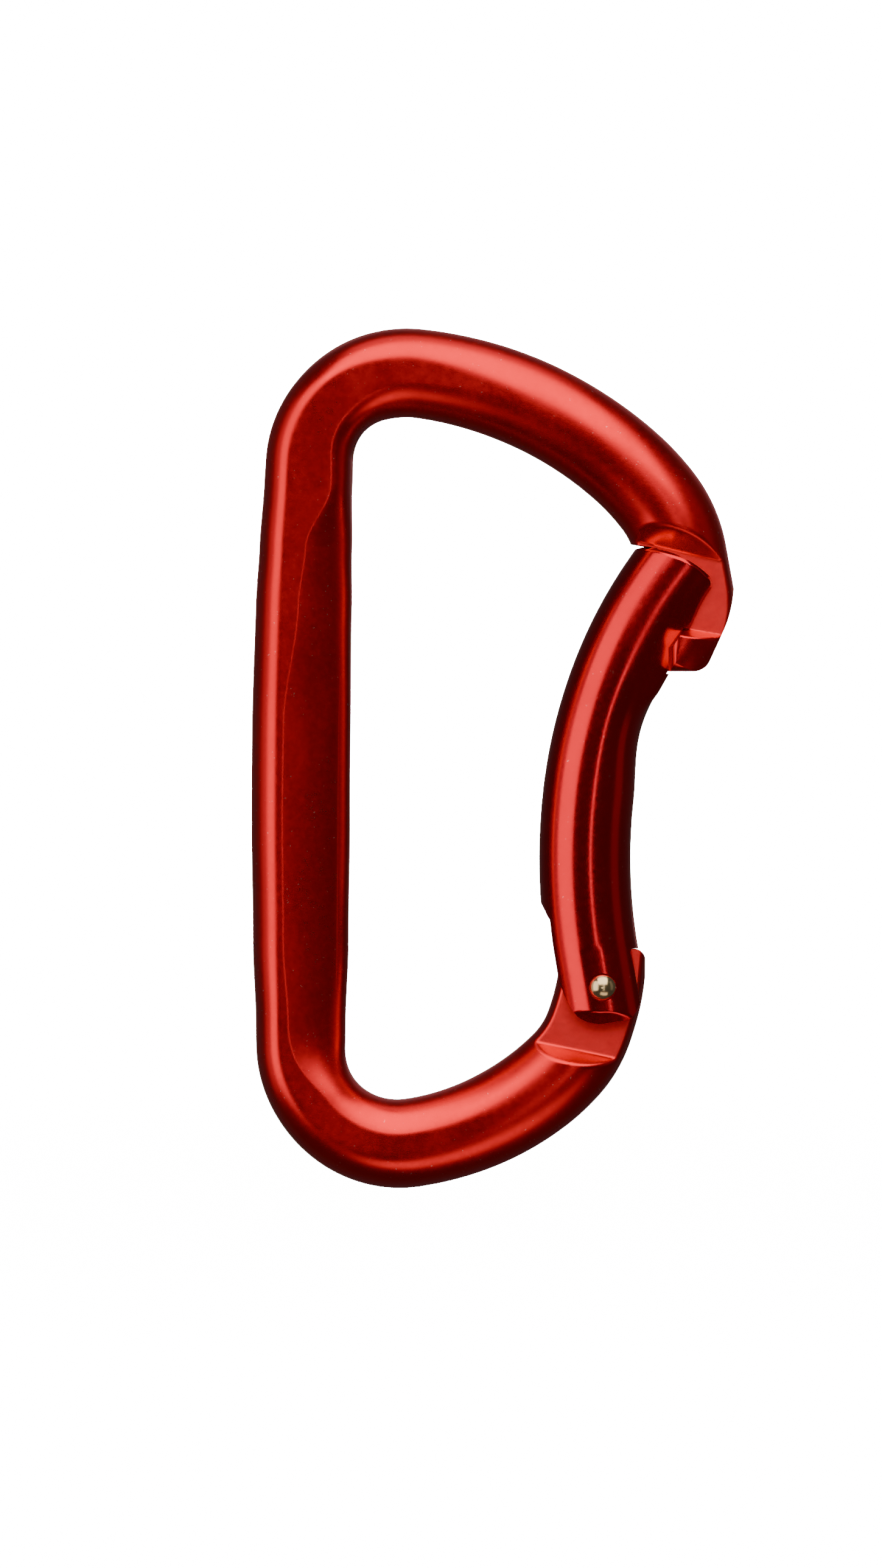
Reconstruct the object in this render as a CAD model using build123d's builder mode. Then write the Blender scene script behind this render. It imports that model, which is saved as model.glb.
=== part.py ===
from build123d import *
from math import cos, pi, radians, sin, sqrt, tan
import os

# Bent-gate keylock carabiner, about 100 mm long, in millimetres.
# The ring lies in the XZ plane and is symmetric about it. +Z points to the nose end, +X to the gate.
# The origin is the centre of a rope that sits in the top basket, in the corner by the spine.

os.makedirs("parts", exist_ok=True)

# ---- bar of the frame ----
spine_x = -11.03  # centre line of the spine, half-way down
spine_z = -42.0
# Bends from the middle of the spine up into the arm: (radius, turn to the right in degrees)
corner_bends = [(856.0, 2.8), (10.56, 71.1), (13.15, 23.1), (44.2, 14.2)]
# Bends of the round arm from there to the nose, whose end is a straight stub
nose_bends = [(44.2, 20.0), (29.1, 11.1), (14.1, 27.5)]
nose_neck = 4.5
nose_hook = (8.0, 52.0)
nose_end = 5.0
nose_radius = 5.34
# Bends from the lower end of the spine round the basket: (radius, turn to the left in degrees)
lower_spine = 26.3
basket_bends = [(11.34, 98.2), (31.6, 8.0)]
# Bends of the round arm from there to the hinge
hinge_bends = [(31.6, 28.9), (12.5, 24.4), (28.9, 12.9)]
hinge_neck = 6.5
hinge_radius = 5.3
bend_step = 11.0  # turn between two sections of the bar, degrees
straight_step = 3.5

# Sizes of the bar's section at distances along it, counted from the middle of the spine, negative
# towards the hinge: half width, offset of the ridge to the outside, half thickness, drop share
section_keys = {
    -52.0: (5.26, 0.0, 5.26, 0.0),
    -44.0: (5.16, 0.6, 5.05, 0.2),
    -34.0: (4.99, 0.8, 4.95, 0.35),
    -24.0: (5.22, 1.9, 4.95, 0.8),
    -14.0: (5.57, 2.3, 5.0, 1.0),
    0.0: (5.74, 2.4, 5.0, 1.0),
    11.0: (5.74, 2.4, 5.0, 1.0),
    25.0: (5.6, 2.2, 5.0, 1.0),
    31.5: (5.4, 1.6, 5.0, 0.8),
    39.0: (5.14, 0.8, 4.95, 0.4),
    49.0: (4.93, 0.6, 4.95, 0.3),
    58.0: (5.18, 0.4, 5.0, 0.2),
    72.0: (5.3, 0.0, 5.3, 0.0),
}

# ---- tongues and shoulders: where the bar is milled flat on both sides ----
tongue_half = 2.75
shoulder_fillet = 0.35
beyond = 12.0  # how far cutting tools reach past the metal
hinge_shoulder = ((16.8, -67.9), (25.4, -69.7))  # foot of the shoulder, from inside to outside
hinge_shoulder_slope = 31.0  # degrees that the shoulder falls away from the tongue
nose_shoulder = ((28.4, -9.7), (38.4, -12.1))
nose_shoulder_slope = 44.0
key_shoulder = ((33.5, -19.85), (37.9, -20.6))
key_shoulder_slope = 18.0
nose_inner_x = 30.4  # gate side of the nose between the gate's ears
nose_step = ((30.4, -10.48), (27.9, -10.06), (22.0, -9.4))
key_inner_x = 31.95  # gate side of the key, which is as thick as the bar
key_slope_x = 1.4  # how far the key's inner corner is cut back
key_bottom_z = -24.72
key_outside = ((39.2, -16.9), (36.0, -24.72))  # outer side of the key, which leans inwards
key_corner = 1.9
key_rounding = 1.7

# ---- hinge ----
rivet_x = 23.95
rivet_z = -61.4
rivet_radius = 1.35
rivet_clearance = 0.05  # running fit in the tongue
rivet_head_radius = 1.58
rivet_seat = 4.95  # half width between the seats of the two heads
rivet_dome = 1.0
rivet_spot_radius = 1.62
tongue_top = 4.4  # above the rivet's axis
tongue_corner = 1.25
tongue_corner_x = 3.8  # from the rivet's axis to the corner's centre
tongue_outside = ((4.75, -2.5), (3.3, -9.1))  # outer edge of the tongue, from the rivet's axis
cam_distance = 4.0  # from the rivet's axis to the flat that the push rod rides on
cam_angle = 112.0  # direction that the flat faces, degrees from +X towards +Z

# ---- gate ----
gate_radius = 5.32
gate_waist = 4.57  # outer half width where the concave side is flatter
waist_middle = 35.8  # distance from the gate's lower end
waist_reach = 9.5
gate_end = (24.28, -65.6)
gate_lean = 9.5  # degrees that the straight hinge end leans away from the nose
gate_neck = 8.35
gate_bends = [(66.0, 16.15), (55.0, 15.8), (50.4, 17.0)]
gate_step = 2.2  # distance between two sections of the gate
slot_half = 2.95
end_chamfer = (1.6, 1.1)  # length along the gate, depth
slot_floor = [(14.5, -46.9), (18.2, -54.3), (26.0, -56.16), (28.0, -56.93)]  # floor of the hinge slot
slot_fillet = 1.2
tip_arc = ((27.9, -10.2), (32.6, -11.25), (36.9, -14.2))  # end face of the gate, seen from the side
tip_bevel = 0.3
nose_slot_x = 30.0
nose_slot_z = -24.77  # floor, at its inner end
nose_slot_fall = 0.185  # fall of the floor for each mm outwards, so it swings clear of the key
key_gap = 0.3
pocket_gap = 0.15  # between the key's upper shoulder and the ears above it

# ---- spring and push rod, in a blind bore of the gate ----
bore_x = 21.5
bore_radius = 1.9
bore_end_z = -42.6
drill_angle = 59.0
rod_tip_radius = 1.3
rod_gap = 0.06  # between the rod's tip and the flat that it rides on
rod_collar_radius = 1.83
rod_collar_z = -53.9
rod_collar_length = 1.4
rod_stem_radius = 0.8
rod_stem_length = 5.0
wire_radius = 0.26
coil_radius = 1.45
coil_pitch = 1.2


def section_at(distance):
    """Section sizes at a distance along the bar, eased between the keys on either side."""
    places = sorted(section_keys)
    after = next(place for place in places[1:] if distance <= place)
    before = places[places.index(after) - 1]
    share = (distance - before) / (after - before)
    ease = share * share * (3 - 2 * share)
    return [a + (b - a) * ease for a, b in zip(section_keys[before], section_keys[after])]


def bar_section(plane, half_width, ridge, half_thick, drop):
    """Section of the bar: an outer half ellipse up to the ridge and a leaner inner side.

    drop is 0 for a round section and 1 for the drop shape of the spine, whose inner sides slope.
    """
    half = sqrt(0.5)
    inner_run = half_width + ridge
    shoulder_height = half_thick * (sqrt(0.75) - 0.08 * drop)
    with BuildSketch(plane) as section:
        with BuildLine():
            for side in (1, -1):
                Spline(
                    (half_width, 0),
                    (ridge + (half_width - ridge) * half, half_thick * half * side),
                    (ridge, half_thick * side),
                    (ridge - inner_run / 2, shoulder_height * side),
                    (ridge - inner_run * sqrt(0.75), half_thick / 2 * side),
                    (-half_width, 0),
                    tangents=[(0, side), (0, -side)],
                )
        make_face()
    return section.sketch


def bend_chain(start, heading, bends, side):
    """Tangent arcs one after another: side is 1 for turns to the left, -1 for turns to the right."""
    arcs = []
    for radius, turn in bends:
        arcs.append(JernArc(start, heading, radius, side * turn))
        start = arcs[-1] @ 1
        heading = arcs[-1] % 1
    return arcs


def stations(edges):
    """Distances along a chain of edges at which the bar gets a section, close together in bends."""
    found = [0.0]
    for edge in edges:
        turn = (edge % 0).get_angle(edge % 1)
        count = max(1, round(turn / bend_step), round(edge.length / straight_step))
        start = found[-1]
        found += [start + edge.length * (step + 1) / count for step in range(count)]
    return found


def bar_plane(path, distance, direction):
    """Section plane on a path: local x points out of the ring and local y to the front."""
    along = path.tangent_at(distance, PositionMode.LENGTH) * direction
    outward = Vector(-along.Z, 0, along.X)
    origin = path.position_at(distance, PositionMode.LENGTH)
    return Plane(origin=origin, x_dir=outward, z_dir=along)


def across(foot):
    """Plane across a shoulder: local x along the thickness, local y up and away from the foot line."""
    start = Vector(foot[0][0], 0, foot[0][1])
    end = Vector(foot[1][0], 0, foot[1][1])
    return Plane(origin=(start + end) * 0.5, x_dir=(0, 1, 0), z_dir=(end - start).normalized())


def beside_tongue(foot, slope, height):
    """Sketch of the space on both sides of a tongue, from a sloping shoulder up to a height."""
    fall = (beyond - tongue_half) * tan(radians(slope))
    if height < 0:
        fall = -fall
    with BuildSketch(across(foot)) as space:
        for side in (1, -1):
            with BuildLine():
                Polyline(
                    (tongue_half * side, 0),
                    (beyond * side, -fall),
                    (beyond * side, height),
                    (tongue_half * side, height),
                    close=True,
                )
            make_face()
        feet = [corner for corner in space.vertices() if abs(corner.Y) < 0.01]
        fillet(feet, shoulder_fillet)
    return space.sketch


def gate_section(plane, outer_half_width):
    """Round section of the gate, whose outer half may be flatter."""
    quarter = 0.5523
    with BuildSketch(plane) as section:
        with BuildLine():
            for end, width in ((-1, outer_half_width), (1, gate_radius)):
                for side in (1, -1):
                    pole = Vector(width * end, 0)
                    top = Vector(0, gate_radius * side)
                    Bezier(
                        pole,
                        pole + Vector(0, quarter * gate_radius * side),
                        top + Vector(quarter * width * end, 0),
                        top,
                    )
        make_face()
    return section.sketch


def round_bar(arcs, bends, side, radius):
    """Round bar along tangent arcs, each a piece of a torus."""
    with BuildPart() as bar:
        for arc, (bend_radius, turn) in zip(arcs, bends):
            heading = arc % 0
            to_centre = Vector(-heading.Z, 0, heading.X) * side
            with BuildSketch(Plane(origin=arc @ 0, x_dir=(0, 1, 0), z_dir=heading)):
                Circle(radius)
            revolve(axis=Axis(arc @ 0 + to_centre * bend_radius, (0, -side, 0)), revolution_arc=turn)
    return bar.part


def stub(line, radius):
    """Round bar along a straight line."""
    with BuildPart() as bar:
        with BuildSketch(Plane(origin=line @ 0, x_dir=(0, 1, 0), z_dir=line % 0)):
            Circle(radius)
        extrude(amount=line.length)
    return bar.part


# ---------------------------------------------------------------- frame
with BuildLine(Plane.XZ) as upper_path:
    upper_arcs = bend_chain(Vector(spine_x, 0, spine_z), Vector(0, 0, 1), corner_bends, -1)

with BuildLine(Plane.XZ) as nose_path:
    nose_arcs = bend_chain(upper_arcs[-1] @ 1, upper_arcs[-1] % 1, nose_bends, -1)
    neck = Line(nose_arcs[-1] @ 1, nose_arcs[-1] @ 1 + (nose_arcs[-1] % 1) * nose_neck)
    hook = JernArc(neck @ 1, neck % 1, nose_hook[0], -nose_hook[1])
    nose_tip = Line(hook @ 1, hook @ 1 + (hook % 1) * nose_end)

with BuildLine(Plane.XZ) as lower_path:
    spine_end = Line((spine_x, spine_z), (spine_x, spine_z - lower_spine))
    basket_arcs = bend_chain(spine_end @ 1, Vector(0, 0, -1), basket_bends, 1)

with BuildLine(Plane.XZ) as hinge_path:
    hinge_arcs = bend_chain(basket_arcs[-1] @ 1, basket_arcs[-1] % 1, hinge_bends, 1)
    hinge_stub = Line(hinge_arcs[-1] @ 1, hinge_arcs[-1] @ 1 + (hinge_arcs[-1] % 1) * hinge_neck)

upper_wire = upper_path.wire()
lower_wire = lower_path.wire()
bar_sections = []
for distance in reversed(stations(lower_path.edges())[1:]):
    bar_sections.append(bar_section(bar_plane(lower_wire, distance, -1), *section_at(-distance)))
for distance in stations(upper_path.edges()):
    bar_sections.append(bar_section(bar_plane(upper_wire, distance, 1), *section_at(distance)))

rivet_axis = Plane(origin=(rivet_x, 0, rivet_z), x_dir=(1, 0, 0), z_dir=(0, -1, 0))
cam_direction = Vector(cos(radians(cam_angle)), sin(radians(cam_angle)))
cam_line = Vector(-cam_direction.Y, cam_direction.X)
cam_foot = cam_direction * cam_distance
cam_inner = cam_foot + cam_line * 8
cam_outer = cam_foot - cam_line * ((tongue_top - cam_foot.Y) / -cam_line.Y)

with BuildPart() as beside_nose:
    extrude(beside_tongue(nose_shoulder, nose_shoulder_slope, -3 * beyond), beyond, both=True)
    extrude(
        beside_tongue(key_shoulder, key_shoulder_slope, 3 * beyond),
        beyond,
        both=True,
        mode=Mode.INTERSECT,
    )

with BuildPart() as frame:
    loft(bar_sections)
    add(round_bar(nose_arcs, nose_bends, -1, nose_radius))
    add(stub(neck, nose_radius))
    add(round_bar([hook], [nose_hook], -1, nose_radius))
    add(stub(nose_tip, nose_radius))
    add(round_bar(hinge_arcs, hinge_bends, 1, hinge_radius))
    add(stub(hinge_stub, hinge_radius))
    # hinge tongue: both sides milled flat up to the shoulder, and its top shaped
    extrude(
        beside_tongue(hinge_shoulder, hinge_shoulder_slope, 2 * beyond),
        beyond,
        both=True,
        mode=Mode.SUBTRACT,
    )
    with BuildSketch(rivet_axis):
        with BuildLine():
            corner_x = tongue_corner_x
            corner_z = tongue_top - tongue_corner
            CenterArc((corner_x, corner_z), tongue_corner, 90, -90)
            ThreePointArc((corner_x + tongue_corner, corner_z), *tongue_outside)
            Polyline(
                tongue_outside[1],
                (beyond, tongue_outside[1][1]),
                (beyond, beyond),
                (cam_inner.X, beyond),
                (cam_inner.X, cam_inner.Y),
                (cam_outer.X, cam_outer.Y),
                (corner_x, tongue_top),
            )
        make_face()
    extrude(amount=beyond, both=True, mode=Mode.SUBTRACT)
    with BuildSketch(rivet_axis):
        Circle(rivet_radius + rivet_clearance)
    extrude(amount=beyond, both=True, mode=Mode.SUBTRACT)
    # nose tongue: milled flat between the shoulder and the key
    add(beside_nose.part, mode=Mode.SUBTRACT)
    # gate side of the nose, thinner between the gate's ears, under a step that the gate's tip meets
    with BuildSketch(Plane.XZ):
        with BuildLine():
            Polyline(
                *nose_step,
                (nose_step[2][0], key_bottom_z - beyond),
                (nose_inner_x, key_bottom_z - beyond),
                close=True,
            )
        make_face()
    extrude(amount=tongue_half + 0.25, both=True, mode=Mode.SUBTRACT)
    # key: as thick as the bar, so it stands clear of the gate's ears on both sides
    for side in (1, -1):
        with BuildSketch(Plane.XZ.offset(tongue_half * side)):
            with BuildLine():
                Polyline(
                    (key_inner_x, key_bottom_z - beyond),
                    (key_inner_x, key_shoulder[0][1] - 2.4),
                    (key_inner_x + key_slope_x, key_shoulder[0][1] - 0.2),
                    (key_inner_x + key_slope_x, key_shoulder[0][1] + 1.0),
                    (key_inner_x - beyond, key_shoulder[0][1] + 1.0),
                    (key_inner_x - beyond, key_bottom_z - beyond),
                    close=True,
                )
            make_face()
        extrude(amount=beyond * side, mode=Mode.SUBTRACT)
    # outer side and lower end of the key
    with BuildSketch(Plane.XZ):
        with BuildLine():
            Polyline(
                key_outside[0],
                key_outside[1],
                (nose_inner_x - beyond, key_bottom_z),
                (nose_inner_x - beyond, key_bottom_z - beyond),
                (key_outside[0][0] + beyond, key_bottom_z - beyond),
                (key_outside[0][0] + beyond, key_outside[0][1]),
                close=True,
            )
        make_face()
        fillet(vertices().sort_by_distance(Vector(*key_outside[1]))[0], key_corner)
    extrude(amount=beyond, both=True, mode=Mode.SUBTRACT)
    # rounded front and back edges of the lower end
    for side in (1, -1):
        with BuildSketch(Plane.YZ.offset(nose_inner_x - beyond)):
            with BuildLine():
                edge_y = nose_radius * side
                inner_y = (nose_radius - key_rounding) * side
                Polyline(
                    (inner_y, key_bottom_z),
                    (inner_y, key_bottom_z - beyond),
                    (edge_y + side, key_bottom_z - beyond),
                    (edge_y + side, key_bottom_z + key_rounding),
                    (edge_y, key_bottom_z + key_rounding),
                )
                CenterArc((inner_y, key_bottom_z + key_rounding), key_rounding, -90, 90 * side)
            make_face()
        extrude(amount=2 * beyond, mode=Mode.SUBTRACT)

# ---------------------------------------------------------------- gate
with BuildLine(Plane.XZ) as gate_path:
    gate_heading = Vector(-sin(radians(gate_lean)), 0, cos(radians(gate_lean)))
    gate_start = Vector(gate_end[0], 0, gate_end[1])
    gate_line = Line(gate_start, gate_start + gate_heading * gate_neck)
    gate_arcs = bend_chain(gate_line @ 1, gate_heading, gate_bends, -1)

gate_wire = gate_path.wire()
gate_sections = []
section_count = round((gate_wire.length - gate_neck) / gate_step)
for index in range(section_count + 1):
    distance = gate_neck + (gate_wire.length - gate_neck) * index / section_count
    reach = min(1.0, abs(distance - waist_middle) / waist_reach)
    waist = (gate_radius - gate_waist) * (0.5 + 0.5 * cos(pi * reach))
    gate_sections.append(gate_section(bar_plane(gate_wire, distance, 1), gate_radius - waist))

with BuildPart() as gate:
    loft(gate_sections)
    # straight hinge end with a conical chamfer round its end face
    extrude(gate_section(bar_plane(gate_wire, 0, 1), gate_radius), gate_neck)
    end_face = gate.faces().sort_by_distance(gate_start)[0]
    chamfer(end_face.edges(), end_chamfer[1], end_chamfer[0], reference=end_face)
    # end face at the nose, a shallow arc seen from the side
    with BuildSketch(Plane.XZ):
        with BuildLine():
            face = ThreePointArc(*tip_arc)
            Polyline(
                face @ 1,
                (tip_arc[2][0] + beyond, tip_arc[2][1] - beyond),
                (tip_arc[2][0] + beyond, tip_arc[0][1] + beyond),
                (tip_arc[0][0] - beyond, tip_arc[0][1] + beyond),
                (tip_arc[0][0] - beyond, tip_arc[0][1] + 1.5),
                face @ 0,
            )
        make_face()
    extrude(amount=beyond, both=True, mode=Mode.SUBTRACT)
    # slot for the hinge tongue
    with BuildSketch(Plane.XZ):
        with BuildLine():
            Polyline(
                *slot_floor,
                (slot_floor[3][0] + beyond, slot_floor[3][1] - 1),
                (slot_floor[3][0] + beyond, rivet_z - beyond),
                (slot_floor[0][0] - beyond, rivet_z - beyond),
                (slot_floor[0][0] - beyond, slot_floor[0][1] + 3),
                close=True,
            )
        make_face()
        fillet(vertices().sort_by_distance(Vector(*slot_floor[1]))[0], slot_fillet)
    extrude(amount=slot_half, both=True, mode=Mode.SUBTRACT)
    # slot for the nose tongue, open outwards and at the tip
    with BuildSketch(Plane.XZ):
        with BuildLine():
            Polyline(
                (nose_slot_x, nose_slot_z),
                (nose_slot_x + beyond, nose_slot_z - nose_slot_fall * beyond),
                (nose_slot_x + beyond, nose_slot_z + 3 * beyond),
                (nose_slot_x, nose_slot_z + 3 * beyond),
                close=True,
            )
        make_face()
    extrude(amount=slot_half, both=True, mode=Mode.SUBTRACT)
    # pocket through both ears for the key
    with BuildSketch(Plane.XZ):
        with BuildLine():
            Polyline(
                (key_inner_x - key_gap, key_bottom_z - key_gap),
                (key_inner_x + beyond, key_bottom_z - key_gap),
                (key_inner_x + beyond, key_shoulder[1][1] + pocket_gap),
                (key_shoulder[1][0], key_shoulder[1][1] + pocket_gap),
                (key_inner_x + key_slope_x, key_shoulder[0][1] + pocket_gap),
                (key_inner_x - key_gap, key_shoulder[0][1] - 2.2),
                close=True,
            )
        make_face()
    extrude(amount=beyond, both=True, mode=Mode.SUBTRACT)
    # rivet hole with a flat seat for each head
    with BuildSketch(rivet_axis):
        Circle(rivet_radius)
    extrude(amount=beyond, both=True, mode=Mode.SUBTRACT)
    for side in (1, -1):
        with BuildSketch(rivet_axis.offset(rivet_seat * side)):
            Circle(rivet_spot_radius)
        extrude(amount=beyond * side, mode=Mode.SUBTRACT)
    # blind bore for the spring and the push rod, with the cone that the drill leaves
    with BuildSketch(Plane.XZ):
        with BuildLine():
            Polyline(
                (bore_x, bore_end_z + bore_radius / tan(radians(drill_angle))),
                (bore_x + bore_radius, bore_end_z),
                (bore_x + bore_radius, rivet_z),
                (bore_x, rivet_z),
                close=True,
            )
        make_face()
    revolve(axis=Axis((bore_x, 0, 0), (0, 0, 1)), mode=Mode.SUBTRACT)

# ---------------------------------------------------------------- hinge rivet
with BuildPart() as hinge_rivet:
    with BuildSketch(Plane(origin=(rivet_x, 0, rivet_z), x_dir=(1, 0, 0), z_dir=(0, 0, 1))):
        with BuildLine():
            Polyline(
                (rivet_head_radius, -rivet_seat),
                (rivet_radius, -rivet_seat),
                (rivet_radius, rivet_seat),
                (rivet_head_radius, rivet_seat),
            )
            for side in (1, -1):
                TangentArc(
                    (0, (rivet_seat + rivet_dome) * side),
                    (rivet_head_radius, rivet_seat * side),
                    tangent=(1, 0),
                )
            Line((0, -rivet_seat - rivet_dome), (0, rivet_seat + rivet_dome))
        make_face()
    revolve(axis=Axis((rivet_x, 0, rivet_z), (0, 1, 0)))

# ---------------------------------------------------------------- push rod
rod_reach = cam_distance + rod_tip_radius + rod_gap - (bore_x - rivet_x) * cam_direction.X
rod_centre_z = rivet_z + rod_reach / cam_direction.Y
spring_seat_z = rod_collar_z + rod_collar_length

with BuildPart() as push_rod:
    with BuildSketch(Plane.XZ):
        with BuildLine():
            TangentArc(
                (bore_x, rod_centre_z - rod_tip_radius),
                (bore_x + rod_tip_radius, rod_centre_z),
                tangent=(1, 0),
            )
            Polyline(
                (bore_x + rod_tip_radius, rod_centre_z),
                (bore_x + rod_tip_radius, rod_collar_z),
                (bore_x + rod_collar_radius, rod_collar_z),
                (bore_x + rod_collar_radius, spring_seat_z),
                (bore_x + rod_stem_radius, spring_seat_z),
                (bore_x + rod_stem_radius, spring_seat_z + rod_stem_length),
                (bore_x, spring_seat_z + rod_stem_length),
                (bore_x, rod_centre_z - rod_tip_radius),
            )
        make_face()
    revolve(axis=Axis((bore_x, 0, 0), (0, 0, 1)))

# ---------------------------------------------------------------- gate spring
with BuildPart() as gate_spring:
    coil_height = bore_end_z - spring_seat_z - 2 * wire_radius
    coil_start = (bore_x, 0, spring_seat_z + wire_radius)
    with BuildLine():
        coil = Helix(coil_pitch, coil_height, coil_radius, center=coil_start)
    with BuildSketch(Plane(origin=coil @ 0, z_dir=coil % 0)):
        Circle(wire_radius)
    sweep()

frame.part.label = "frame"
export_step(frame.part, "parts/frame.step")
gate.part.label = "gate"
export_step(gate.part, "parts/gate.step")
hinge_rivet.part.label = "hinge_rivet"
export_step(hinge_rivet.part, "parts/hinge_rivet.step")
push_rod.part.label = "push_rod"
export_step(push_rod.part, "parts/push_rod.step")
gate_spring.part.label = "gate_spring"
export_step(gate_spring.part, "parts/gate_spring.step")
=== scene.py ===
from math import cos, pi, radians, sin, tan

import bmesh
import bpy
import numpy as np
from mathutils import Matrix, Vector


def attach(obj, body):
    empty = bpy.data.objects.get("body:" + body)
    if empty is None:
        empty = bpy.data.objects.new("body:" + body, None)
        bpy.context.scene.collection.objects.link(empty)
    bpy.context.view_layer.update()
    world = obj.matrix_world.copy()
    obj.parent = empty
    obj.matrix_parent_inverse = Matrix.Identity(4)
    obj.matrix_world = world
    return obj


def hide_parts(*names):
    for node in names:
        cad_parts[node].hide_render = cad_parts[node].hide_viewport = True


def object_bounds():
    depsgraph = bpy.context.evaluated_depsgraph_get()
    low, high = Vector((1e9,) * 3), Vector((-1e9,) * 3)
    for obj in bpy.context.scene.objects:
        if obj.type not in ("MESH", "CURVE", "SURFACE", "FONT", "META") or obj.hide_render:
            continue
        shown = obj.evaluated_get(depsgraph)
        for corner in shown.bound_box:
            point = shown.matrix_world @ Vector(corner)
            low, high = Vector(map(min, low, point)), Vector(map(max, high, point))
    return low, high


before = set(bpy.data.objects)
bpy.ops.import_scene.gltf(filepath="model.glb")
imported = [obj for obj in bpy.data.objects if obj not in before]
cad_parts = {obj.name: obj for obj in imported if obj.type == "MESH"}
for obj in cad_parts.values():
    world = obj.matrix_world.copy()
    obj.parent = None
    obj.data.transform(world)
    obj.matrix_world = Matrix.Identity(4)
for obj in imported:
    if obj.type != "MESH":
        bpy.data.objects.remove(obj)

cad_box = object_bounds()
MM = 0.001


# ---------------------------------------------------------------- materials
class Nodes:
    """A material's node tree, with the object's own coordinates in metres."""

    def __init__(self, name):
        self.material = bpy.data.materials.new(name)
        self.material.use_nodes = True
        self.tree = self.material.node_tree
        self.shader = self.tree.nodes["Principled BSDF"]
        self.coords = self.tree.nodes.new("ShaderNodeTexCoord").outputs["Object"]

    def node(self, kind, **inputs):
        made = self.tree.nodes.new(kind)
        for name, value in inputs.items():
            self.put(made.inputs[name.replace("_", " ")], value)
        return made

    def put(self, socket, value):
        if isinstance(value, bpy.types.NodeSocket):
            self.tree.links.new(value, socket)
        else:
            socket.default_value = value

    def noise(self, scale, detail=3.0, stretch=(1, 1, 1), roughness=0.5):
        mapping = self.node("ShaderNodeMapping", Vector=self.coords, Scale=stretch)
        made = self.node("ShaderNodeTexNoise", Vector=mapping.outputs[0], Scale=scale, Detail=detail)
        made.inputs["Roughness"].default_value = roughness
        return made.outputs["Fac"]

    def remap(self, value, low, high, to_low=0.0, to_high=1.0):
        made = self.node("ShaderNodeMapRange", Value=value)
        for name, number in zip(("From Min", "From Max", "To Min", "To Max"), (low, high, to_low, to_high)):
            made.inputs[name].default_value = number
        return made.outputs["Result"]

    def math(self, operation, a, b=0.0):
        made = self.tree.nodes.new("ShaderNodeMath")
        made.operation = operation
        self.put(made.inputs[0], a)
        self.put(made.inputs[1], b)
        return made.outputs[0]

    def mix(self, factor, a, b):
        made = self.tree.nodes.new("ShaderNodeMix")
        made.data_type = "RGBA"
        self.put(made.inputs["Factor"], factor)
        self.put(made.inputs["A"], a)
        self.put(made.inputs["B"], b)
        return made.outputs["Result"]

    def bump(self, height, strength, distance):
        made = self.node("ShaderNodeBump", Height=height)
        made.inputs["Strength"].default_value = strength
        made.inputs["Distance"].default_value = distance
        self.put(self.shader.inputs["Normal"], made.outputs[0])


def anodised(name, color, dark, satin):
    """Dyed, sealed aluminium: a bright satin metal with a fine grain and small rubbed marks."""
    m = Nodes(name)
    wash = m.remap(m.noise(90, 4), 0.35, 0.65)
    base = m.mix(wash, (*dark, 1), (*color, 1))
    specks = m.remap(m.noise(2600, 1), 0.74, 0.80)
    m.put(m.shader.inputs["Base Color"], m.mix(specks, base, (0.95, 0.20, 0.18, 1)))
    m.put(m.shader.inputs["Metallic"], 1.0)
    rub = m.remap(m.noise(160, 5, (1, 1, 0.25)), 0.4, 0.7, satin, satin + 0.06)
    m.put(m.shader.inputs["Roughness"], m.math("ADD", rub, m.remap(m.noise(1500, 3), 0.3, 0.7, 0.0, 0.05)))
    m.bump(m.noise(2200, 3), 0.12, 0.00002)
    return m.material


def milled(name, color, dark, around, half):
    """The flat sides of the tongues under the same dye: duller, with a fine even grain.

    The grain stops at the edge of the flat, which lies half its thickness from the middle plane."""
    m = Nodes(name)
    away = m.math("ABSOLUTE", m.node("ShaderNodeSeparateXYZ", Vector=m.coords).outputs["Y"])
    off = m.math("ABSOLUTE", m.math("SUBTRACT", away, half))
    flat = m.remap(off, 0.000010, 0.000035, 1.0, 0.0)
    face = m.mix(m.remap(m.noise(420, 4), 0.3, 0.7), (*dark, 1), (*color, 1))
    m.put(m.shader.inputs["Base Color"], m.mix(flat, (*around, 1), face))
    m.put(m.shader.inputs["Metallic"], 1.0)
    grain = m.remap(m.noise(1800, 4, (0.4, 1, 1)), 0.3, 0.7, 0.22, 0.32)
    m.put(m.shader.inputs["Roughness"], m.math("ADD", m.math("MULTIPLY", flat, grain), 0.28))
    m.bump(m.noise(2600, 3, (0.3, 1, 1)), 0.25, 0.00002)
    return m.material


def bright_metal(name, color, dark, roughness, turned):
    """Bare or plated steel with fine turning lines or drawing marks."""
    m = Nodes(name)
    base = m.mix(m.remap(m.noise(500, 4), 0.35, 0.65), (*dark, 1), (*color, 1))
    m.put(m.shader.inputs["Base Color"], base)
    m.put(m.shader.inputs["Metallic"], 1.0)
    lines = m.noise(900, 3, turned)
    m.put(m.shader.inputs["Roughness"], m.remap(lines, 0.3, 0.7, roughness, roughness + 0.12))
    m.bump(lines, 0.2, 0.00002)
    return m.material


def pale(name):
    """Matt white paper for the floor, with a faint unevenness."""
    m = Nodes(name)
    m.put(m.shader.inputs["Base Color"], m.mix(m.noise(3, 2), (0.86, 0.86, 0.86, 1), (0.90, 0.90, 0.90, 1)))
    m.put(m.shader.inputs["Roughness"], 0.9)
    m.put(m.shader.inputs["Emission Color"], (1, 1, 1, 1))
    m.put(m.shader.inputs["Emission Strength"], 16.0)
    return m.material


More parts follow.
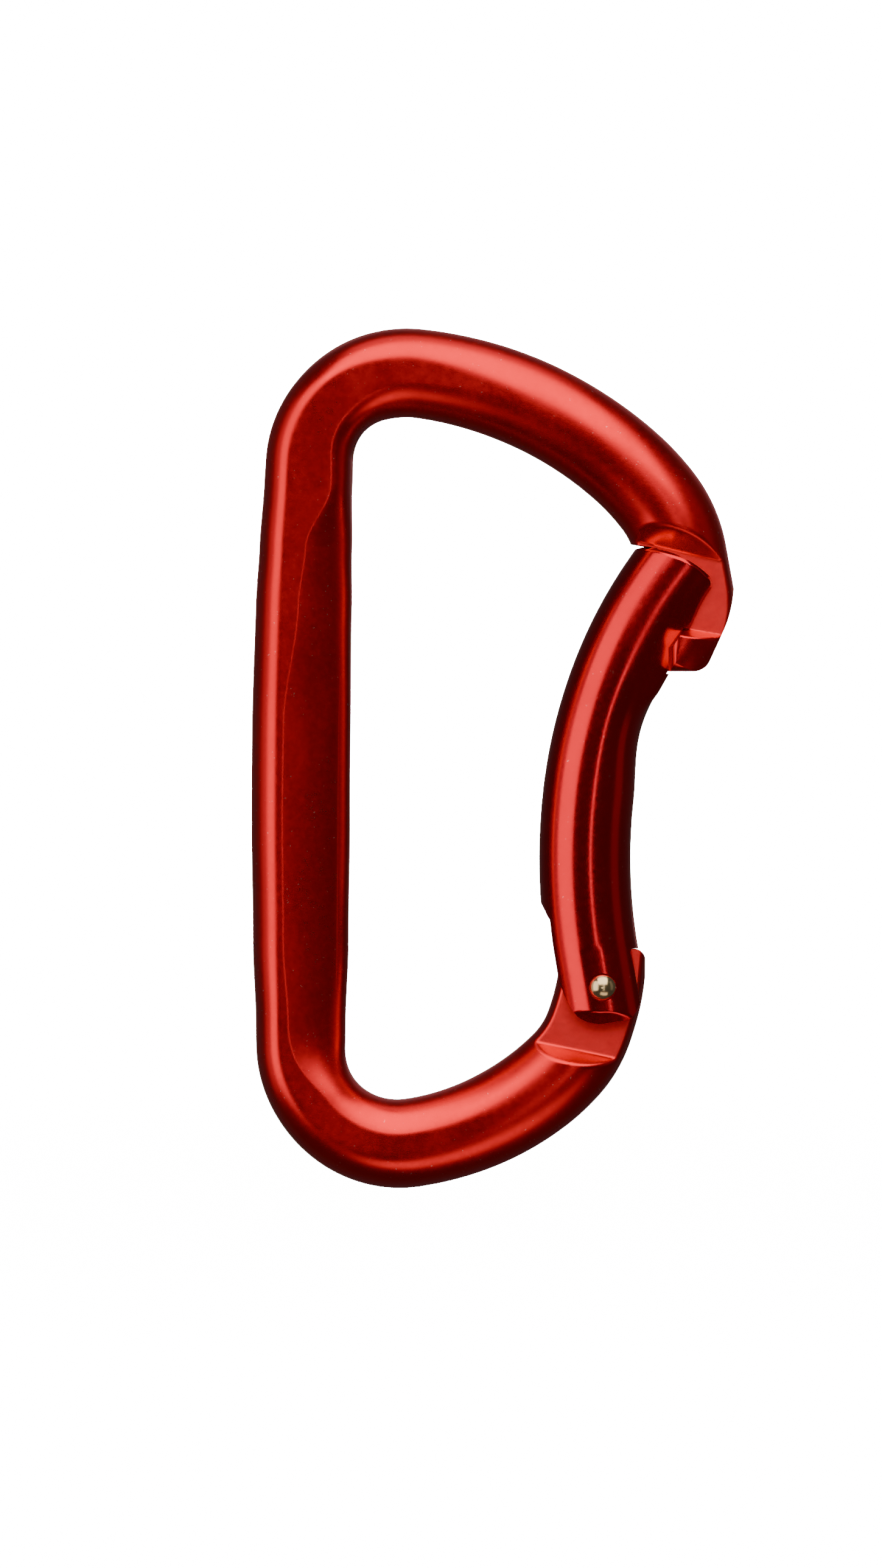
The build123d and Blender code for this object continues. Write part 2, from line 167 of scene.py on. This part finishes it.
frame_red = anodised("anodised_frame", (0.94, 0.022, 0.027), (0.88, 0.019, 0.024), 0.27)
gate_red = anodised("anodised_gate", (0.84, 0.020, 0.028), (0.76, 0.017, 0.025), 0.17)
milled_red = milled("milled_red", (1.0, 0.045, 0.045), (0.92, 0.036, 0.038), (0.91, 0.021, 0.026), 2.75 * MM)
rivet_metal = bright_metal("rivet_metal", (0.92, 0.66, 0.34), (0.76, 0.52, 0.26), 0.14, (1, 0.2, 1))
spring_steel = bright_metal("spring_steel", (0.62, 0.62, 0.63), (0.50, 0.50, 0.52), 0.22, (1, 1, 0.2))
rod_steel = bright_metal("rod_steel", (0.60, 0.60, 0.61), (0.48, 0.48, 0.50), 0.22, (0.2, 0.2, 1))

for node, material in (
    ("frame", frame_red),
    ("gate", gate_red),
    ("hinge_rivet", rivet_metal),
    ("gate_spring", spring_steel),
    ("push_rod", rod_steel),
):
    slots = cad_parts[node].data.materials
    slots.clear()
    slots.append(material)


# ---------------------------------------------------------------- bars along a path
def new_object(name, vertices, faces):
    mesh = bpy.data.meshes.new(name)
    mesh.from_pydata(vertices, [], faces)
    mesh.update()
    mesh.shade_smooth()
    made = bpy.data.objects.new(name, mesh)
    bpy.context.scene.collection.objects.link(made)
    return made


def path_point(start, heading, legs, distance):
    """Place and heading on a path in the XZ plane.

    A leg is (radius, turn in degrees, left positive), or (None, length)."""
    x, z = start
    angle = radians(heading)
    left = distance
    for index, (radius, amount) in enumerate(legs):
        last = index == len(legs) - 1
        length = amount if radius is None else radius * abs(radians(amount))
        run = left if last else min(left, length)
        if radius is None:
            x += run * cos(angle)
            z += run * sin(angle)
        else:
            side = 1 if amount > 0 else -1
            turned = run / radius * side
            x += side * radius * (sin(angle + turned) - sin(angle))
            z -= side * radius * (cos(angle + turned) - cos(angle))
            angle += turned
        left -= run
        if left <= 1e-9:
            break
    return x, z, angle


def path_length(legs):
    return sum(amount if radius is None else radius * abs(radians(amount)) for radius, amount in legs)


def eased(keys, distance):
    """Values at a distance, eased between the keys on either side."""
    places = sorted(keys)
    if distance <= places[0]:
        return keys[places[0]]
    if distance >= places[-1]:
        return keys[places[-1]]
    after = next(place for place in places if place >= distance)
    before = places[places.index(after) - 1]
    share = (distance - before) / (after - before)
    share = share * share * (3 - 2 * share)
    return [a + (b - a) * share for a, b in zip(keys[before], keys[after])]


def smooth_min(a, b, reach):
    """The smaller of two values, rounded off where they are within reach of each other."""
    close = np.maximum(reach - np.abs(a - b), 0.0) / reach
    return np.minimum(a, b) - close * close * reach / 4


def smooth_rise(d, reach):
    """0 below zero and d above it, with a rounded bend."""
    return np.where(d > reach, d, np.where(d < -reach, 0.0, (d + reach) ** 2 / (4 * reach)))


def beyond_line(x, z, a, b):
    """Signed distance from the line a to b, positive to the left of it."""
    run = np.array([b[0] - a[0], b[1] - a[1]])
    run = run / np.hypot(*run)
    return -run[1] * (x - a[0]) + run[0] * (z - a[1])


def tube(name, rings, material):
    """Closed tube mesh through rings of equal size, in millimetres, capped at both ends."""
    count = len(rings[0])
    vertices = [tuple(point * MM) for ring in rings for point in ring]
    faces = []
    for k in range(len(rings) - 1):
        low, high = k * count, (k + 1) * count
        faces += [(low + j, low + (j + 1) % count, high + (j + 1) % count, high + j) for j in range(count)]
    faces.append(tuple(reversed(range(count))))
    faces.append(tuple((len(rings) - 1) * count + j for j in range(count)))
    made = new_object(name, vertices, faces)
    tidy(made)
    made.data.materials.append(material)
    return made


def tidy(obj):
    """Outward normals on a closed mesh."""
    grid = bmesh.new()
    grid.from_mesh(obj.data)
    bmesh.ops.recalc_face_normals(grid, faces=grid.faces)
    grid.to_mesh(obj.data)
    grid.free()


def prism(points, low, high, axis=1):
    """Cutting tool: an outline across the axis (0, 1 or 2), between two heights on it, in millimetres."""
    count = len(points)
    vertices = []
    for height in (low, high):
        for spot in points:
            place = [value * MM for value in spot]
            place.insert(axis, height * MM)
            vertices.append(tuple(place))
    faces = [(k, (k + 1) % count, (k + 1) % count + count, k + count) for k in range(count)]
    faces += [tuple(reversed(range(count))), tuple(range(count, 2 * count))]
    made = new_object("tool", vertices, faces)
    tidy(made)
    return made


def lathe(centre, profile, axis, around=72):
    """Cutting tool: (radius, height) points turned about an axis, 1 for Y and 2 for Z, in millimetres."""
    vertices, faces = [], []
    for radius, height in profile:
        for k in range(around):
            a = 2 * pi * k / around
            spot = [centre[0] + radius * cos(a), centre[1], centre[2]]
            spot[axis] += height
            spot[3 - axis] += radius * sin(a)
            vertices.append(tuple(value * MM for value in spot))
    for ring in range(len(profile) - 1):
        for k in range(around):
            a, b = ring * around + k, ring * around + (k + 1) % around
            faces.append((a, b, b + around, a + around))
    faces += [tuple(range(around)), tuple(range((len(profile) - 1) * around, len(profile) * around))]
    made = new_object("tool", vertices, faces)
    tidy(made)
    return made


def cut(obj, tool):
    """Takes the tool out of the piece for good."""
    modifier = obj.modifiers.new("cut", "BOOLEAN")
    modifier.object = tool
    modifier.operation = "DIFFERENCE"
    modifier.solver = "EXACT"
    graph = bpy.context.evaluated_depsgraph_get()
    mesh = bpy.data.meshes.new_from_object(obj.evaluated_get(graph))
    obj.modifiers.clear()
    old, obj.data = obj.data, mesh
    bpy.data.meshes.remove(old)
    bpy.data.objects.remove(tool)


def arc(centre, radius, start, end, steps=16):
    """Points on an arc, angles in degrees from +X towards +Z."""
    angles = np.radians(np.linspace(start, end, steps))
    return [(centre[0] + radius * cos(a), centre[1] + radius * sin(a)) for a in angles]


def curve(a, b, c, steps):
    """Points on a curve that leaves a towards b and arrives at c from b."""
    a, b, c = np.array(a), np.array(b), np.array(c)
    return [tuple((1 - t) ** 2 * a + 2 * t * (1 - t) * b + t * t * c) for t in np.linspace(0, 1, steps)]


def finish_shading(obj):
    obj.data.shade_smooth()
    obj.data.set_sharp_from_angle(angle=radians(38))


def mill(obj):
    """Gives the flat sides of the tongues, and the narrow bends round them, the milled finish."""
    obj.data.materials.append(milled_red)
    for polygon in obj.data.polygons:
        if abs(polygon.normal.y) > 0.8 and abs(abs(polygon.center.y) - TONGUE * MM) < 0.08 * MM:
            polygon.material_index = len(obj.data.materials) - 1


# ---------------------------------------------------------------- frame
SPINE = (-11.03, -42.0)
UPPER = [(856.0, -2.8), (10.56, -71.1), (13.15, -23.1), (44.2, -34.2), (29.1, -11.1), (14.1, -27.5)]
UPPER += [(None, 4.5), (8.0, -52.0), (None, 5.0)]
LOWER = [(None, 26.3), (11.34, 98.2), (31.6, 36.9), (12.5, 24.4), (28.9, 12.9), (None, 6.5)]
# half width, ridge offset, half thickness, width of the flat, blend radius, drop share
SECTIONS = {
    -100: (5.3, 0, 5.2, 0.12, 5.2, 0),
    -60: (5.3, 0, 5.3, 0.12, 5.3, 0),
    -46: (5.18, 0.8, 5.0, 1.6, 2.2, 0.2),
    -34: (4.99, 1.6, 4.95, 2.5, 1.6, 0.35),
    -24: (5.22, 2.2, 4.95, 0.6, 1.5, 0.8),
    -14: (5.57, 2.3, 5.0, 0.12, 1.4, 1),
    0: (5.74, 2.4, 5.0, 0.12, 1.4, 1),
    11: (5.74, 2.4, 5.0, 0.2, 1.3, 1),
    25: (5.6, 2.35, 5.0, 1.6, 1.2, 1),
    31.5: (5.4, 2.25, 5.0, 2.1, 1.2, 0.85),
    39: (5.14, 2.1, 4.95, 4.6, 1.2, 0.5),
    49: (4.93, 1.9, 4.95, 3.8, 1.4, 0.35),
    58: (5.18, 1.2, 4.95, 2.4, 1.8, 0.25),
    74: (5.3, 0, 5.3, 0.12, 5.3, 0),
    92: (5.34, 0, 5.34, 0.12, 5.34, 0),
}
# how much thinner the tongue's outer side gets towards the hinge
SLIMMER = {-84: (0.68,), -74: (0.42,), -62: (0.0,)}
TONGUE = 2.75  # half thickness of the tongues
PAST = 9  # half length of tools that cut right through
HINGE_FOOT = ((16.8, -67.9), (25.4, -69.7))
NOSE_FOOT = ((28.4, -9.7), (38.4, -12.1))
KEY_FOOT = ((33.5, -19.85), (37.9, -20.6))
KEY_TOP = -19.7
KEY_BOTTOM = -24.72
RIVET = (23.95, -61.4)
TILT = radians(14.6)


def half_section(half_width, ridge, half_thick, flat, blend, drop, slimmer):
    """Half of the bar's section, from the outer edge over the ridge towards the inner edge.

    Each point is (outward, thickness)."""
    quarter = np.linspace(0, pi / 2, 25)[:-1]
    reach = half_width - ridge - slimmer
    points = [(ridge + reach * cos(a), half_thick * sin(a)) for a in quarter]
    points += [(ridge - flat * k / 8, half_thick) for k in range(8)]
    turns = np.linspace(0, TILT, 7)
    points += [(ridge - flat - blend * sin(a), half_thick - blend * (1 - cos(a))) for a in turns[:-1]]
    end = np.array([ridge - flat - blend * sin(TILT), half_thick - blend * (1 - cos(TILT))])
    run = (0.609 + 0.2 * drop) * (end[0] + half_width)
    pull = end + run * np.array([-cos(TILT), -sin(TILT)])
    edge = np.array([-half_width, 0.0])
    side = np.array([-half_width, (0.47 + 0.055 * drop) * end[1]])
    for t in np.linspace(0, 1, 27)[:-1]:
        u = 1 - t
        points.append(tuple(u**3 * end + 3 * u * u * t * pull + 3 * u * t * t * side + t**3 * edge))
    return np.array(points)


def frame_ring(distance):
    if distance >= 0:
        x0, z0, angle = path_point(SPINE, 90, UPPER, distance)
    else:
        x0, z0, angle = path_point(SPINE, -90, LOWER, -distance)
        angle += pi
    half = half_section(*eased(SECTIONS, distance), eased(SLIMMER, distance)[0])
    out, y = half[:, 0], half[:, 1]
    x, z = x0 - sin(angle) * out, z0 + cos(angle) * out
    limit = np.full_like(y, 99.0)
    if distance < -60:
        fall = -beyond_line(x, z, *HINGE_FOOT)
        limit = TONGUE + smooth_rise(fall, 0.25) / tan(radians(31))
    if distance > 88:
        rise = beyond_line(x, z, *NOSE_FOOT)
        limit = TONGUE + smooth_rise(rise, 0.25) / tan(radians(44))
        drop = np.minimum(-beyond_line(x, z, *KEY_FOOT), KEY_TOP - z)
        limit = np.maximum(limit, TONGUE + smooth_rise(drop, 0.12) / tan(radians(18)))
    y = smooth_min(y, limit, 0.4)
    y[0] = 0.0
    front = np.column_stack([x, y, z])
    back = np.column_stack([x, -y, z])[1:][::-1]
    return np.vstack([front, inner_edge(distance, x0, z0, angle), back])


def inner_edge(distance, x0, z0, angle):
    width = eased(SECTIONS, distance)[0]
    return np.array([[x0 + sin(angle) * width, 0.0, z0 - cos(angle) * width]])


def spaced(marks):
    """Distances with a step for each stretch: (from, to, step)."""
    found = []
    for low, high, step in marks:
        count = max(1, round((high - low) / step))
        found += [low + (high - low) * k / count for k in range(count)]
    return found + [marks[-1][1]]


low_end, high_end = -path_length(LOWER), path_length(UPPER)
places = spaced([(low_end, -62, 0.13), (-62, 90, 0.45), (90, 101, 0.13), (101, high_end, 0.08)])
body = tube("frame_body", [frame_ring(place) for place in places], frame_red)

cam_out = np.array([cos(radians(112)), sin(radians(112))])
cam_along = np.array([-cam_out[1], cam_out[0]])
cam_foot = cam_out * 4.0
cam_in = cam_foot + cam_along * 8
cam_top = cam_foot - cam_along * ((4.4 - cam_foot[1]) / -cam_along[1])
outline = arc((3.8, 3.15), 1.25, 90, 0) + [(5.05, 1.0), (12, 1.0), (12, 12), (cam_in[0], 12)]
outline += [tuple(cam_in), tuple(cam_top)]
cut(body, prism([(RIVET[0] + x, RIVET[1] + z) for x, z in outline], -PAST, PAST))
cut(body, lathe((RIVET[0], 0, RIVET[1]), [(1.40, -PAST), (1.40, PAST)], 1))

toe = curve((39.42, -13.0), (39.4, -17.0), (38.2, -19.8), 12)
toe += arc((34.72, KEY_BOTTOM + 1.9), 1.9, -24.5, -90)
toe += [(20.0, KEY_BOTTOM), (20.0, -45.0), (50.0, -45.0), (50.0, -13.0)]
cut(body, prism(toe, -PAST, PAST))
web = [(30.4, -10.48), (27.9, -10.06), (22.0, -9.4), (22.0, -40.0), (30.4, -40.0)]
cut(body, prism(web, -3.0, 3.0))
key_side = [(31.95, -40.0), (31.95, -22.25), (33.35, -20.05), (33.35, -19.4), (22.0, -19.4), (22.0, -40.0)]
upright = arc((33.05, 4.24), 1.1, 170, 90, 12) + [(33.05, 9.0), (30.0, 9.0), (30.0, 4.43)]
lower = arc((3.64, KEY_BOTTOM + 1.7), 1.7, -80, 0, 14)
lower += [(9.0, KEY_BOTTOM + 1.7), (9.0, -32.0), (3.94, -32.0)]
for side in (1, -1):
    cut(body, prism(key_side, *sorted((TONGUE * side, PAST * side))))
    cut(body, prism([(x, y * side) for x, y in upright], -32.0, -18.0, 2))
    cut(body, prism([(y * side, z) for y, z in lower], 28.0, 50.0, 0))
mill(body)
finish_shading(body)
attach(body, "frame")
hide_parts("frame")

# ---------------------------------------------------------------- gate
GATE_END = (24.28, -65.6)
GATE = [(None, 8.35), (66.0, -16.15), (55.0, -15.8), (50.4, -17.0)]
GATE_RADIUS = 5.32
SLOT = 2.95  # half width of the slots between the ears
TIP_ARC = ((27.9, -10.2), (32.6, -11.25), (36.9, -14.2))


def circle_through(a, b, c):
    """Centre and radius of the circle through three points."""
    rows = np.array([[b[0] - a[0], b[1] - a[1]], [c[0] - a[0], c[1] - a[1]]]) * 2.0
    right = [b[0] ** 2 - a[0] ** 2 + b[1] ** 2 - a[1] ** 2, c[0] ** 2 - a[0] ** 2 + c[1] ** 2 - a[1] ** 2]
    centre = np.linalg.solve(rows, right)
    return centre, float(np.hypot(*(centre - np.array(a))))


# how much the outer shoulders of the ears are filled out beside the key, as a share of the radius
EAR_FILL = {37: (0.0,), 41.2: (0.14,), 48: (0.14,), 56: (0.0,)}
# lower end of the ears, seen from the side
END_OUTLINE = [(17.2, -56.5), (18.35, -59.2), (19.08, -61.07), (19.9, -63.1), (20.55, -64.15)]
END_OUTLINE += [(21.25, -64.95), (22.2, -65.45), (23.5, -65.68), (25.2, -65.6), (26.5, -65.42)]
END_OUTLINE += [(27.3, -65.0), (27.95, -64.2), (28.5, -62.9), (29.0, -61.0)]
tip_centre, tip_radius = circle_through(*TIP_ARC)
gate_length = path_length(GATE)


def gate_ring(distance):
    x0, z0, angle = path_point(GATE_END, 99.5, GATE, distance)
    reach = min(1.0, abs(distance - 35.8) / 9.5)
    waist = 0.75 * (0.5 + 0.5 * cos(pi * reach))
    turn = np.linspace(0, 2 * pi, 129)[:-1]
    out, y = np.cos(turn), np.sin(turn)
    shoulder = np.interp(np.abs(y), (0.15, 0.5, 0.58, 0.85), (0.0, 1.0, 1.0, 0.0))
    shoulder = shoulder * shoulder * (3 - 2 * shoulder) * eased(EAR_FILL, distance)[0]
    out = np.where(out < 0, out - shoulder, out)
    radius = np.where(out < 0, GATE_RADIUS - waist, GATE_RADIUS)
    x = x0 - sin(angle) * out * radius
    z = z0 + cos(angle) * out * radius
    y = y * GATE_RADIUS
    if distance < 9:
        inset = np.full_like(x, 99.0)
        for a, b in zip(END_OUTLINE, END_OUTLINE[1:]):
            inset = np.minimum(inset, beyond_line(x, z, a, b))
        y = np.sign(y) * smooth_min(np.abs(y), 5.25 - smooth_rise(1.45 - inset, 0.12) * 0.75, 0.15)
    depth = tip_radius - np.hypot(x - tip_centre[0], z - tip_centre[1])
    bevel = np.minimum(smooth_rise(0.32 - depth, 0.1), 0.8) if distance > gate_length - 9 else 0.0
    scale = 1 - bevel / GATE_RADIUS
    return np.column_stack([x0 + (x - x0) * scale, y * scale, z0 + (z - z0) * scale])


places = spaced([(0, 8, 0.13), (8, gate_length - 9, 0.4), (gate_length - 9, gate_length + 1.5, 0.12)])
shell = tube("gate_body", [gate_ring(place) for place in places], gate_red)
start = np.degrees(np.arctan2(TIP_ARC[0][1] - tip_centre[1], TIP_ARC[0][0] - tip_centre[0]))
end = np.degrees(np.arctan2(TIP_ARC[2][1] - tip_centre[1], TIP_ARC[2][0] - tip_centre[0]))
face = arc(tip_centre, tip_radius, float(start) + 8, float(end) - 8, 40)
face += [(face[-1][0] + 9, face[-1][1] - 3), (50, 5), (15, 5), (face[0][0] - 9, face[0][1] + 1)]
cut(shell, prism(face, -PAST, PAST))
cut(shell, prism(arc((35.64, -14.62), 0.9, 52, -25, 12) + [(38.5, -15.5), (38.5, -12.5)], -PAST, PAST))
hinge_slot = [(14.5, -46.9)] + curve((17.66, -53.23), (18.2, -54.3), (19.37, -54.58), 9)
hinge_slot += [(25.6, -56.07), (26.9, -56.92), (30.0, -56.97), (41.5, -60.0)]
hinge_slot += [(41.5, -75.0), (2.5, -75.0), (2.5, -43.9)]
cut(shell, prism(hinge_slot, -SLOT, SLOT))
nose_slot = [(30.0, 5.0), (30.0, -24.4)] + arc((30.4, -24.4), 0.4, 180, 260, 8)
nose_slot += [(31.9, -25.1), (45.0, -27.5), (45.0, 5.0)]
cut(shell, prism(nose_slot, -SLOT, SLOT))
pocket = [(31.65, -25.02), (45.0, -25.02), (45.0, -20.45), (37.9, -20.45), (33.35, -19.7), (31.65, -22.05)]
cut(shell, prism(pocket, -PAST, PAST))
cut(shell, lathe((21.5, 0, 0), [(0.02, -41.46), (1.9, -42.6), (1.9, -61.4), (0.02, -61.4)], 2))
for side in (1, -1):
    heights = sorted((4.95 * side, PAST * side))
    cut(shell, lathe((RIVET[0], 0, RIVET[1]), [(1.62, heights[0]), (1.62, heights[1])], 1))
cut(shell, lathe((RIVET[0], 0, RIVET[1]), [(1.35, -PAST), (1.35, PAST)], 1))
under = END_OUTLINE + [(32.0, -61.0), (32.0, -72.0), (10.0, -72.0), (10.0, -56.5)]
cut(shell, prism(under, -PAST, PAST))
finish_shading(shell)
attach(shell, "gate")
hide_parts("gate")

# ---------------------------------------------------------------- floor, light and camera
floor_z = cad_box[0][2] - 0.0002
profile = [(0.0, 0.0), (2.2, 0.0)]
profile += [(2.2 + 1.6 * sin(a), 1.6 - 1.6 * cos(a)) for a in np.linspace(0.1, pi / 2, 16)]
profile.append((3.8, 5.0))
around = 96
rings = []
for radius, height in profile[1:]:
    for k in range(around):
        a = 2 * pi * k / around
        rings.append((radius * cos(a), radius * sin(a), floor_z + height))
floor_faces = [tuple(range(around))]
for ring in range(len(profile) - 2):
    for k in range(around):
        a, b = ring * around + k, ring * around + (k + 1) % around
        floor_faces.append((a, b, b + around, a + around))
backdrop = new_object("backdrop", rings, floor_faces)
backdrop.data.materials.append(pale("paper"))
backdrop.visible_glossy = False

middle = Vector((5.27 * MM, 0.0, -37.83 * MM))


def softbox(name, azimuth, elevation, distance, width, height, radiance, color=(1, 1, 1)):
    """Area light aimed at the object. Azimuth 0 is at the camera, positive towards +X."""
    data = bpy.data.lights.new(name, "AREA")
    data.shape = "RECTANGLE"
    data.size = width
    data.size_y = height
    data.energy = radiance * pi * width * height
    data.color = color
    made = bpy.data.objects.new(name, data)
    a, e = radians(azimuth), radians(elevation)
    towards = Vector((sin(a) * cos(e), -cos(a) * cos(e), sin(e)))
    made.location = middle + towards * distance
    made.rotation_euler = (-towards).to_track_quat("-Z", "Y").to_euler()
    made.visible_camera = False
    bpy.context.scene.collection.objects.link(made)
    return made


softbox("key_left", -52, 10, 1.0, 0.75, 1.3, 1.8, (1.0, 0.98, 0.96))
softbox("side_left", -87, 5, 1.0, 0.62, 1.2, 0.45)
softbox("strip_right", 14, 0, 1.4, 0.06, 1.3, 4.0)
softbox("top_front", 8, 54, 1.0, 1.3, 1.2, 2.7, (1.0, 0.97, 0.94))
softbox("top", 0, 98, 1.0, 0.9, 0.4, 0.9)
softbox("low", 20, -52, 1.0, 0.9, 0.4, 1.2, (1.0, 0.88, 0.78))
softbox("fill_right", 80, 10, 1.2, 0.5, 1.2, 0.12)
softbox("back", 170, 20, 1.2, 1.2, 0.8, 0.2)

world = bpy.data.worlds.new("studio")
world.use_nodes = True
world.node_tree.nodes["Background"].inputs["Color"].default_value = (1, 1, 1, 1)
world.node_tree.nodes["Background"].inputs["Strength"].default_value = 0.06
bpy.context.scene.world = world

camera_data = bpy.data.cameras.new("camera")
camera_distance = 1.5
view_height = 0.1823  # metres that the picture shows from bottom to top at the part
camera_data.sensor_fit = "VERTICAL"
camera_data.sensor_height = 36.0
camera_data.lens = camera_data.sensor_height * camera_distance / view_height
camera_data.clip_end = 20
camera = bpy.data.objects.new("camera", camera_data)
camera.location = middle + Vector((0, -camera_distance, 0))
camera.rotation_euler = (pi / 2, 0, 0)
bpy.context.scene.collection.objects.link(camera)
bpy.context.scene.camera = camera
